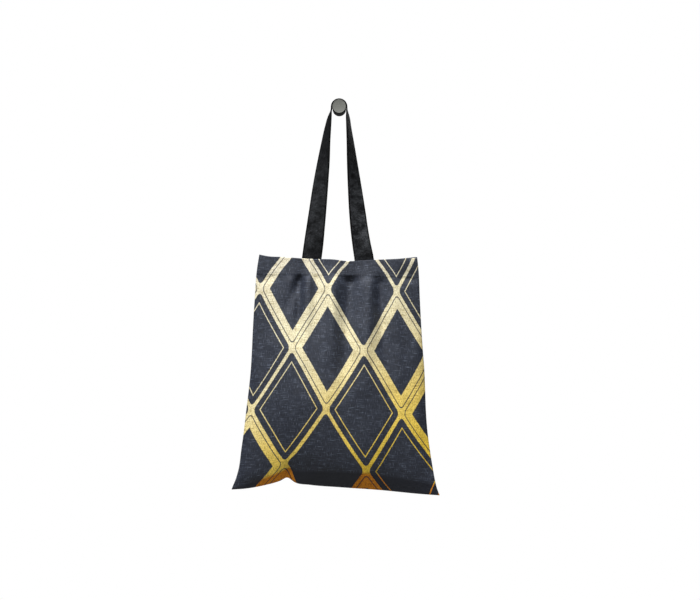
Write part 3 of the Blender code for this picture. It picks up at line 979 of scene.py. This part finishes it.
# %% [markdown]
# ## Ground of the print
#
# The ground is dyed into the cloth, so its colours follow the threads: thin places let the darker
# yarn show, thick ones stay pale, and dark flecks sit in the pores where threads cross. The real
# pores are 0.8 mm apart; here the flecks are 2 mm, so that they show. A ramp along the panel
# gives the run of colours, and each effect is mixed over the one before.

# %% Printed cloth: the ground
BARE_ROUGHNESS, INK_ROUGHNESS = 0.92, 0.6
COLOURS = {"data_type": "RGBA"}
DARKENED = {"data_type": "RGBA", "blend_type": "MULTIPLY"}
RUN_RIGHT, RUN_DOWN, RUN_LENGTH = 0.350, 0.937, 0.500
GROUND_RUN = [
    (0.0, "#ddd6bd"),
    (0.34, "#dcd5b4"),
    (0.46, "#dfd5ad"),
    (0.54, "#e5d7a1"),
    (0.60, "#e8d58e"),
    (0.68, "#eed474"),
    (0.78, "#f0d25b"),
    (0.88, "#eccb43"),
    (0.96, "#e6bf2e"),
]

tree, shader = start_material(printed, BARE_ROUGHNESS, 0.4, 0.0)
cloth, streaks = rough_cloth(tree, shader)
uneven = add(tree, "Math", {"operation": "ADD"}, {0: streaks[0], 1: streaks[1]})
thick = add(tree, "Math", {"operation": "MAXIMUM"}, {0: streaks[0], 1: streaks[1]})
thin = add(tree, "Math", {"operation": "MINIMUM"}, {0: streaks[0], 1: streaks[1]})
# The run goes down and a little to the right, from the left edge of the mouth
run = (RUN_RIGHT / RUN_LENGTH, -RUN_DOWN / RUN_LENGTH, 0.0)
way = add(tree, "VectorMath", {"operation": "DOT_PRODUCT", 1: run}, {0: cloth})
from_edge = PANEL_WIDTH / 2 * MM * RUN_RIGHT / RUN_LENGTH
way = add(tree, "Math", {"operation": "ADD", 1: from_edge}, {0: way})
ground = add(tree, "ValToRGB", {"stops": GROUND_RUN}, {0: way})
print(len(GROUND_RUN), "colours in the ground")

# %% Printed cloth: painted shade at the foot
# Painted shade: the foot of the panel, where the cloth turns under, is laid in a darker amber, under
# a border that bends like a shallow arc
FOOT_HEIGHT, FOOT_BORDER = 30.0, 3.0
ARC_MIDDLE, ARC_REACH, ARC_RISE = 42 * MM, 230 * MM, 26 * MM

axes = add(tree, "SeparateXYZ", links={0: cloth})
cloth_x, cloth_y = axes.outputs[0], axes.outputs[1]
settings = {"operation": "MULTIPLY_ADD", 1: 1 / ARC_REACH, 2: -ARC_MIDDLE / ARC_REACH}
sideways = add(tree, "Math", settings, {0: cloth_x})
arc = add(tree, "Math", {"operation": "POWER", 1: 2.0}, {0: sideways})
border = add(tree, "Math", {"operation": "MULTIPLY_ADD", 1: ARC_RISE}, {0: arc, 2: cloth_y})
foot_top = (FOOT_HEIGHT - PANEL_HEIGHT) * MM
settings = {1: foot_top - FOOT_BORDER * MM, 2: foot_top + FOOT_BORDER * MM, 3: 1.0, 4: 0.0}
painted_foot_shade = add(tree, "MapRange", settings, {0: border})
ground = add(tree, "Mix", COLOURS | {7: linear("#cf8214")}, {0: painted_foot_shade, 6: ground})
print(f"band at the foot {FOOT_HEIGHT:.0f} mm high")

# %% Printed cloth: hem, thin places and pores
HEM_GREY = 0.2
FLECK = 2.0 * MM

# The doubled hem looks a little greyer, down to the edge that is turned in
settings = {1: -(HEM + 0.5) * MM, 2: -(HEM - 1.5) * MM, 3: 0.0, 4: HEM_GREY}
hem_grey = add(tree, "MapRange", settings, {0: cloth_y})
ground = add(tree, "Mix", COLOURS | {7: linear("#f2efe6")}, {0: hem_grey, 6: ground})
# Thin places let the dark yarn show
thinned = add(tree, "MapRange", {1: 0.42, 2: 0.26, 3: 0.0, 4: 0.7}, {0: thin})
ground = add(tree, "Mix", DARKENED | {7: linear("#b8a163")}, {0: thinned, 6: ground})
depth = add(tree, "MapRange", {1: 0.75, 2: 1.25, 3: 0.86, 4: 1.10}, {0: uneven})
ground = add(tree, "Mix", DARKENED | {0: 1.0}, {6: ground, 7: depth})
# Flecks sit in the pores
settings = {"noise_dimensions": "2D", "Scale": 1 / FLECK, "Detail": 2.0, "Roughness": 0.8}
pores = add(tree, "TexNoise", settings, {"Vector": cloth})
flecks = add(tree, "MapRange", {1: 0.46, 2: 0.28, 3: 0.0, 4: 1.0}, {0: pores})
ground = add(tree, "Mix", DARKENED | {7: linear("#a08c58")}, {0: flecks, 6: ground})
print(f"flecks about {FLECK / MM:.0f} mm apart")

# %% [markdown]
# ## Ink and bare cloth
#
# Screen-printed ink lies on top of the threads and closes the pores between the fibres, so it is
# a little smoother than bare cloth. Thick threads take less ink on their sides and look paler. The
# inner side of the panels has neither ground nor ink, only the yarn's own cream.

# %% Printed cloth: the ink
paler = add(tree, "MapRange", {1: 0.64, 2: 0.88}, {0: thick})
ink = add(tree, "Mix", COLOURS | {6: linear("#242935"), 7: linear("#626a78")}, {0: paler})
depth = add(tree, "MapRange", {1: 0.75, 2: 1.25, 3: 0.58, 4: 1.42}, {0: uneven})
ink = add(tree, "Mix", DARKENED | {0: 1.0}, {6: ink, 7: depth})
# Painted shade: the ink is darker too where the cloth turns under at the foot
ink = add(tree, "Mix", COLOURS | {7: linear("#0e131f")}, {0: painted_foot_shade, 6: ink})
cover = print_ink(tree, cloth, uneven)
colour = add(tree, "Mix", COLOURS, {0: cover, 6: ground, 7: ink})
smooth = add(tree, "MapRange", {3: BARE_ROUGHNESS, 4: INK_ROUGHNESS}, {0: cover})
feed(tree, shader, {"Base Color": colour, "Roughness": smooth})
print("printed side:", printed.name)

# %% Unprinted side
YARN_STOPS = [(0.36, "#b9b08f"), (0.5, "#ddd6bd"), (0.62, "#e8e3d0")]
tree, shader = start_material(unprinted, 0.9, 0.25, 0.06)
cloth, streaks = rough_cloth(tree, shader)
plain = add(tree, "ValToRGB", {"stops": YARN_STOPS}, {0: streaks[0]})
feed(tree, shader, {"Base Color": plain})
print("inner side:", unprinted.name)

# %% [markdown]
# ## Webbing
#
# The handles are woven on a narrow loom: thick warp yarns run along them and pass over two weft
# yarns at a time, each one step beside its neighbour, which gives rows like small bricks. The two
# outer yarns are drawn tight and stand apart as a selvedge. Where hands and the peg rub it, the
# black wears to a dusty grey. The real yarns are 1.2 mm wide; here they are 1.8 mm, so that they
# show.

# %% Webbing material: the yarns
WARP_PITCH = 1.8 * MM
FLOAT_LENGTH = 3.4 * MM
YARN_GROOVE = 0.36 * MM

tree, shader = start_material(webbing, 0.8, 0.08, 0.0)
ribbon = add(tree, "UVMap", {"uv_map": "cloth"})
axes = add(tree, "SeparateXYZ", links={0: ribbon})
ribbon_x, ribbon_y = axes.outputs[0], axes.outputs[1]
along = add(tree, "CombineXYZ", links={0: ribbon_y, 1: ribbon_x})
settings = {"offset": 0.5, "Scale": 1.0, "Brick Width": FLOAT_LENGTH, "Row Height": WARP_PITCH}
settings |= {"Mortar Size": YARN_GROOVE, "Mortar Smooth": 1.0, "Bias": 0.0}
settings |= {"Color1": linear("#0c0d0e"), "Color2": linear("#25272a"), "Mortar": linear("#060607")}
bricks = add(tree, "TexBrick", settings, {"Vector": along})
yarn = add(tree, "Math", {"operation": "SUBTRACT", 0: 1.0}, {1: bricks.outputs[1]})
print("webbing yarns", round(WARP_PITCH / MM, 1), "mm apart")

# %% Webbing material: wear, with painted light and shade
# Greys along the webbing, from the sewn end on the left, over the peg, to the one on the right:
# how far the rubbed patches show, and how much light the whole webbing gives back. Both runs are
# painted light and shade, set by how the light falls on each part of the handle
WORN_LENGTH = 640 * MM
PATCH_ACROSS, PATCH_ALONG = 24 * MM, 13 * MM
LINT = 1.9 * MM
WEAR_AND_PAINTED_LIGHT = [
    (0.0, "#4a4a4a"),
    (0.10, "#909090"),
    (0.22, "#949494"),
    (0.34, "#606060"),
    (0.50, "#404040"),
    (0.64, "#707070"),
    (0.76, "#bcbcbc"),
    (0.90, "#cccccc"),
    (0.97, "#848484"),
]
PAINTED_LIGHT_AND_SHADE = [
    (0.0, "#b0b0b0"),
    (0.24, "#c4c4c4"),
    (0.34, "#b0b0b0"),
    (0.46, "#b0b0b0"),
    (0.56, "#e0e0e0"),
    (0.68, "#b8b8b8"),
    (0.84, "#cccccc"),
    (1.0, "#c8c8c8"),
]

# Patches that are rubbed dusty lie across the webbing, where it has been creased
patch_scale = (1 / PATCH_ACROSS, 1 / PATCH_ALONG, 0.0)
stretched = add(tree, "VectorMath", {"operation": "MULTIPLY", 1: patch_scale}, {0: ribbon})
settings = {"noise_dimensions": "2D", "Scale": 1.0, "Detail": 5.0, "Roughness": 0.7}
patches = add(tree, "TexNoise", settings, {"Vector": stretched})
rubbed_and_painted_light = add(tree, "MapRange", {1: 0.38, 2: 0.66}, {0: patches})
# Lint catches on single yarns
settings = {"noise_dimensions": "2D", "Scale": 1 / LINT, "Detail": 2.0, "Roughness": 0.8}
lint = add(tree, "TexNoise", settings, {"Vector": ribbon})
linty = add(tree, "MapRange", {1: 0.40, 2: 0.64, 3: 0.3, 4: 1.6}, {0: lint})
rubbed_and_painted_light = add(tree, "Math", {"operation": "MULTIPLY"}, {0: rubbed_and_painted_light, 1: linty})
# Painted light and shade: the webbing is palest low on its right leg and darkest where it passes
# over the peg
way = add(tree, "Math", {"operation": "DIVIDE", 1: WORN_LENGTH}, {0: ribbon_y})
wear_and_painted_light = add(tree, "ValToRGB", {"stops": WEAR_AND_PAINTED_LIGHT}, {0: way})
rubbed_and_painted_light = add(tree, "Math", {"operation": "MULTIPLY", "use_clamp": True}, {0: rubbed_and_painted_light, 1: wear_and_painted_light})
colour = add(tree, "Mix", COLOURS | {7: linear("#6a6d72")}, {0: rubbed_and_painted_light, 6: bricks})
# Painted light and shade: the whole webbing is made lighter or darker along its length
depth = add(tree, "ValToRGB", {"stops": PAINTED_LIGHT_AND_SHADE}, {0: way})
colour = add(tree, "Mix", DARKENED | {0: 1.0}, {6: colour, 7: depth})
print(len(WEAR_AND_PAINTED_LIGHT), "steps of wear along a handle")

# %% Webbing material: selvedge and fuzz
SELVEDGE = 2.6 * MM
FUZZ = 0.9 * MM

# The selvedge yarns stay dark and lie a little lower
from_middle = add(tree, "Math", {"operation": "ABSOLUTE"}, {0: ribbon_x})
edge = WEBBING_WIDTH / 2 * MM - SELVEDGE
selvedge = add(tree, "MapRange", {1: edge, 2: edge + 0.5 * MM}, {0: from_middle})
colour = add(tree, "Mix", COLOURS | {7: linear("#08090a")}, {0: selvedge, 6: colour})
# Loose fibres make every yarn slightly fuzzy
settings = {"noise_dimensions": "2D", "Scale": 1 / FUZZ, "Detail": 2.0, "Roughness": 0.6}
fuzz = add(tree, "TexNoise", settings, {"Vector": ribbon})
height = add(tree, "Math", {"operation": "MULTIPLY_ADD", 1: 0.35}, {0: fuzz, 2: yarn})
height = add(tree, "Math", {"operation": "MULTIPLY_ADD", 1: -0.5}, {0: selvedge, 2: height})
bump = add(tree, "Bump", {"Strength": 0.9, "Distance": 0.35 * MM}, {"Height": height})
feed(tree, shader, {"Base Color": colour, "Normal": bump})
print("selvedge", round(SELVEDGE / MM, 1), "mm wide")

# %% [markdown]
# ## Peg's finish
#
# The bar is aluminium, sprayed with black powder and baked: the coat melts into a skin with the
# soft bumps of orange peel. Its end was turned on a lathe, so that faint rings show. Its satin grey
# is a painted reflection: the sheen that the light gives the black end, laid in as colour.

# %% Powder coat
PEEL = 1.6 * MM
COAT_STOPS = [(0.35, "#0a0b0a"), (0.65, "#121311")]
tree, shader = start_material(coated, 0.5, 0.12, 0.0)
place = add(tree, "TexCoord").outputs["Object"]
settings = {"Scale": 1 / PEEL, "Detail": 1.5, "Roughness": 0.5}
peel = add(tree, "TexNoise", settings, {"Vector": place})
shade = add(tree, "ValToRGB", {"stops": COAT_STOPS}, {0: peel})
bump = add(tree, "Bump", {"Strength": 0.35, "Distance": 0.12 * MM}, {"Height": peel})
feed(tree, shader, {"Base Color": shade, "Normal": bump})
print(f"orange peel {PEEL / MM:.1f} mm")

# %% Painted reflection on the end
RING = 0.7 * MM
MOTTLE = 2.2 * MM
# Painted reflection: a mid grey on the end, where a black end would show the light's sheen
END_REFLECTION_STOPS = [(0.3, "#595a56"), (0.7, "#6a6b66")]
tree, shader = start_material(end_painted_reflection, 0.5, 0.3, 0.0)
place = add(tree, "TexCoord").outputs["Object"]
axes = add(tree, "SeparateXYZ", links={0: place})
flat_place = add(tree, "CombineXYZ", links={0: axes.outputs[0], 2: axes.outputs[2]})
radius = add(tree, "VectorMath", {"operation": "LENGTH"}, {0: flat_place})
settings = {"noise_dimensions": "1D", "Scale": 1 / RING, "Detail": 2.0}
rings = add(tree, "TexNoise", settings, {"W": radius})
settings = {"Scale": 1 / MOTTLE, "Detail": 3.0, "Roughness": 0.6}
mottle = add(tree, "TexNoise", settings, {"Vector": place})
shade = add(tree, "ValToRGB", {"stops": END_REFLECTION_STOPS}, {0: mottle})
height = add(tree, "Math", {"operation": "ADD"}, {0: rings, 1: mottle})
bump = add(tree, "Bump", {"Strength": 0.3, "Distance": 0.08 * MM}, {"Height": height})
feed(tree, shader, {"Base Color": shade, "Normal": bump})
print("peg materials:", coated.name, "and", end_painted_reflection.name)

# %% [markdown]
# ## Thread
#
# Sewing thread is twisted from three plies and lightly waxed. At this scale its twist shows as a
# faint slanting stripe on each stitch, so a wave in the bump and a little sheen are enough. Real
# plies lie closer together; here the stripes are 2.5 mm apart, one for each stitch.

# %% Thread material
STRIPE = 2.54 * MM
WAVE_LENGTH = 2 * pi / hypot(10, 10, 10)  # between a diagonal wave's stripes, at a scale of 1
tree, shader = start_material(cotton, 0.6, 0.3, 0.1)
place = add(tree, "TexCoord").outputs["Object"]
settings = {"wave_type": "BANDS", "bands_direction": "DIAGONAL", "Scale": WAVE_LENGTH / STRIPE}
ply = add(tree, "TexWave", settings, {"Vector": place}).outputs[1]
bump = add(tree, "Bump", {"Strength": 0.5, "Distance": 0.06 * MM}, {"Height": ply})
shade = add(tree, "ValToRGB", {"stops": [(0.0, "#3a3e46"), (1.0, "#464a51")]}, {0: ply})
feed(tree, shader, {"Base Color": shade, "Normal": bump})
print("thread:", cotton.name)

# %% [markdown]
# ## Finishing
#
# Each piece rides on the one body of the model and takes the place of its solid.

# %% Place the pieces in the model
for panel in ("front", "back"):
    cloth, handle = panels[panel], handles[panel]
    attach(cloth, "root")
    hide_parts(f"{panel}_panel")
    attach(stitches[panel], "root")
    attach(handle, "root")
    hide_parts(f"{panel}_handle")
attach(peg, "root")
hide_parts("peg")
